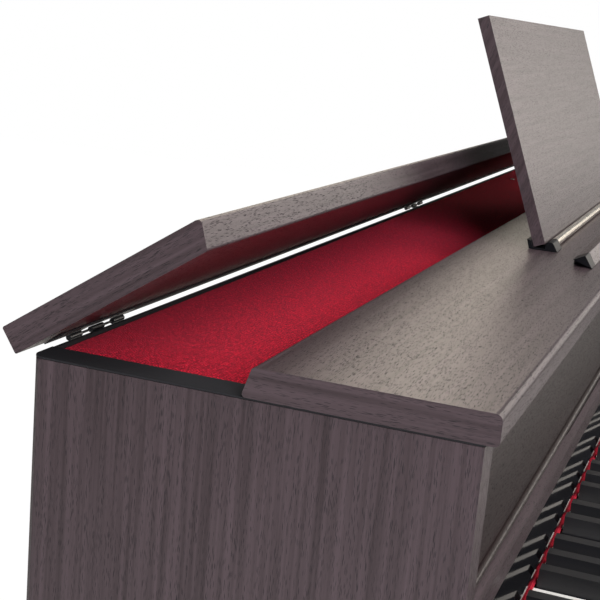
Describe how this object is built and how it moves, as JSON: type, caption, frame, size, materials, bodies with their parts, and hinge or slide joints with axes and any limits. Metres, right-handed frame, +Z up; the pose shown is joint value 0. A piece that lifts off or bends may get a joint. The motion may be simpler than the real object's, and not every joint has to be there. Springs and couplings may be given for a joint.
{
  "type": "digital piano",
  "caption": "Console digital piano in dark wood with a rear-hinged top lid over red speaker cloth, music desk, sliding key cover, sprung keys and pedals.",
  "frame": {"origin": "on the floor, in the middle of the box that holds the piano with its lid open", "axes": "+X along the keyboard towards the treble end, +Y to the back of the cabinet, +Z up"},
  "size_m": [1.377, 0.4358, 1.0819],
  "materials": {
    "wood": "satin",
    "red_cloth": "matte",
    "black_plastic": "matte",
    "black_metal": "satin",
    "gloss_black": "gloss",
    "grey_board": "matte",
    "steel": "polished",
    "brass": "polished",
    "white_keys": "gloss",
    "black_keys": "satin"
  },
  "bodies": {
    "cabinet": {"left_side_panel": "wood", "right_side_panel": "wood", "left_top_seal": "black_plastic", "right_top_seal": "black_plastic", "rear_panel": "grey_board", "rear_rail": "black_plastic", "top_board": "wood", "front_panel": "wood", "cloth_panel": "red_cloth", "desk_foot_left": "black_plastic", "desk_foot_right": "black_plastic", "page_ledge": "wood", "ledge_cap_left": "black_plastic", "ledge_cap_right": "black_plastic", "keybed": "wood", "key_slip": "wood", "left_cheek": "wood", "right_cheek": "wood", "control_panel": "gloss_black", "key_felt": "red_cloth", "key_chassis": "grey_board", "left_leg": "wood", "right_leg": "wood", "left_toe_block": "wood", "right_toe_block": "wood", "kick_panel": "wood", "pedal_box": "black_plastic", "power_inlet": "black_plastic", "hinge_leaf_left": "black_metal", "hinge_leaf_middle": "black_metal", "hinge_leaf_right": "black_metal"},
    "lid_leaf": {"lid": "wood", "lid_strip": "black_plastic", "hinge_flap_left": "black_metal", "hinge_flap_middle": "black_metal", "hinge_flap_right": "black_metal"},
    "desk": {"music_desk": "wood", "desk_rod": "steel"},
    "cover": {"key_cover": "wood"},
    "soft_pedal": {"soft_pedal": "brass"},
    "sostenuto_pedal": {"sostenuto_pedal": "brass"},
    "damper_pedal": {"damper_pedal": "brass"},
    "pedal_adjuster": {"pedal_adjuster": "black_plastic"},
    "volume_knob": {"volume_knob": "black_plastic"},
    "power_button": {"power_button": "black_plastic"},
    "key_a0": {"key_a0": "white_keys"},
    "key_as0": {"key_as0": "black_keys"},
    "key_b0": {"key_b0": "white_keys"},
    "key_c1": {"key_c1": "white_keys"},
    "key_cs1": {"key_cs1": "black_keys"},
    "key_d1": {"key_d1": "white_keys"},
    "key_ds1": {"key_ds1": "black_keys"},
    "key_e1": {"key_e1": "white_keys"},
    "key_f1": {"key_f1": "white_keys"},
    "key_fs1": {"key_fs1": "black_keys"},
    "key_g1": {"key_g1": "white_keys"},
    "key_gs1": {"key_gs1": "black_keys"},
    "white_bank": {"white_key_bank": "white_keys"},
    "black_bank": {"black_key_bank": "black_keys"}
  },
  "joints": [
    {"name": "lid_hinge", "type": "hinge", "parent": "cabinet", "child": "lid_leaf", "pos_m": [0, 0.20743, 0.8921], "axis": [1, 0, 0], "range_deg": [0, 33.7]},
    {"name": "desk_fold", "type": "hinge", "parent": "cabinet", "child": "desk", "pos_m": [0, 0.02393, 0.9129], "axis": [1, 0, 0], "range_deg": [0, 107]},
    {"name": "cover_slide", "type": "slide", "parent": "cabinet", "child": "cover", "axis": [0, -0.9781, -0.2079], "range_m": [0, 0.168]},
    {"name": "soft_pedal_press", "type": "hinge", "parent": "cabinet", "child": "soft_pedal", "pos_m": [0, -0.00507, 0.064], "axis": [1, 0, 0], "range_deg": [0, 8], "stiffness_Nm_per_rad": 2, "springref_deg": -5.73},
    {"name": "sostenuto_pedal_press", "type": "hinge", "parent": "cabinet", "child": "sostenuto_pedal", "pos_m": [0, -0.00507, 0.064], "axis": [1, 0, 0], "range_deg": [0, 8], "stiffness_Nm_per_rad": 2, "springref_deg": -5.73},
    {"name": "damper_pedal_press", "type": "hinge", "parent": "cabinet", "child": "damper_pedal", "pos_m": [0, -0.00507, 0.064], "axis": [1, 0, 0], "range_deg": [0, 8], "stiffness_Nm_per_rad": 2, "springref_deg": -5.73},
    {"name": "pedal_foot_screw", "type": "slide", "parent": "cabinet", "child": "pedal_adjuster", "axis": [0, 0, 1], "range_m": [0, 0.008]},
    {"name": "volume_turn", "type": "hinge", "parent": "cabinet", "child": "volume_knob", "pos_m": [-0.5936, -0.02436, 0.7627], "axis": [0, -0.9487, 0.3162], "range_deg": [-150, 150]},
    {"name": "power_press", "type": "slide", "parent": "cabinet", "child": "power_button", "axis": [0, 0.9487, -0.3162], "range_m": [0, 0.001], "stiffness_N_per_m": 200, "springref_m": -0.002},
    {"name": "key_a0_press", "type": "hinge", "parent": "cabinet", "child": "key_a0", "pos_m": [0, 0.04593, 0.7207], "axis": [1, 0, 0], "range_deg": [0, 2.6], "stiffness_Nm_per_rad": 3, "springref_deg": -3.44},
    {"name": "key_as0_press", "type": "hinge", "parent": "cabinet", "child": "key_as0", "pos_m": [0, 0.04593, 0.7207], "axis": [1, 0, 0], "range_deg": [0, 2.6], "stiffness_Nm_per_rad": 3, "springref_deg": -3.44},
    {"name": "key_b0_press", "type": "hinge", "parent": "cabinet", "child": "key_b0", "pos_m": [0, 0.04593, 0.7207], "axis": [1, 0, 0], "range_deg": [0, 2.6], "stiffness_Nm_per_rad": 3, "springref_deg": -3.44},
    {"name": "key_c1_press", "type": "hinge", "parent": "cabinet", "child": "key_c1", "pos_m": [0, 0.04593, 0.7207], "axis": [1, 0, 0], "range_deg": [0, 2.6], "stiffness_Nm_per_rad": 3, "springref_deg": -3.44},
    {"name": "key_cs1_press", "type": "hinge", "parent": "cabinet", "child": "key_cs1", "pos_m": [0, 0.04593, 0.7207], "axis": [1, 0, 0], "range_deg": [0, 2.6], "stiffness_Nm_per_rad": 3, "springref_deg": -3.44},
    {"name": "key_d1_press", "type": "hinge", "parent": "cabinet", "child": "key_d1", "pos_m": [0, 0.04593, 0.7207], "axis": [1, 0, 0], "range_deg": [0, 2.6], "stiffness_Nm_per_rad": 3, "springref_deg": -3.44},
    {"name": "key_ds1_press", "type": "hinge", "parent": "cabinet", "child": "key_ds1", "pos_m": [0, 0.04593, 0.7207], "axis": [1, 0, 0], "range_deg": [0, 2.6], "stiffness_Nm_per_rad": 3, "springref_deg": -3.44},
    {"name": "key_e1_press", "type": "hinge", "parent": "cabinet", "child": "key_e1", "pos_m": [0, 0.04593, 0.7207], "axis": [1, 0, 0], "range_deg": [0, 2.6], "stiffness_Nm_per_rad": 3, "springref_deg": -3.44},
    {"name": "key_f1_press", "type": "hinge", "parent": "cabinet", "child": "key_f1", "pos_m": [0, 0.04593, 0.7207], "axis": [1, 0, 0], "range_deg": [0, 2.6], "stiffness_Nm_per_rad": 3, "springref_deg": -3.44},
    {"name": "key_fs1_press", "type": "hinge", "parent": "cabinet", "child": "key_fs1", "pos_m": [0, 0.04593, 0.7207], "axis": [1, 0, 0], "range_deg": [0, 2.6], "stiffness_Nm_per_rad": 3, "springref_deg": -3.44},
    {"name": "key_g1_press", "type": "hinge", "parent": "cabinet", "child": "key_g1", "pos_m": [0, 0.04593, 0.7207], "axis": [1, 0, 0], "range_deg": [0, 2.6], "stiffness_Nm_per_rad": 3, "springref_deg": -3.44},
    {"name": "key_gs1_press", "type": "hinge", "parent": "cabinet", "child": "key_gs1", "pos_m": [0, 0.04593, 0.7207], "axis": [1, 0, 0], "range_deg": [0, 2.6], "stiffness_Nm_per_rad": 3, "springref_deg": -3.44},
    {"name": "white_bank_press", "type": "hinge", "parent": "cabinet", "child": "white_bank", "pos_m": [0, 0.04593, 0.7207], "axis": [1, 0, 0], "range_deg": [0, 2.6], "stiffness_Nm_per_rad": 135, "springref_deg": -3.44},
    {"name": "black_bank_press", "type": "hinge", "parent": "cabinet", "child": "black_bank", "pos_m": [0, 0.04593, 0.7207], "axis": [1, 0, 0], "range_deg": [0, 2.6], "stiffness_Nm_per_rad": 60, "springref_deg": -3.44}
  ]
}
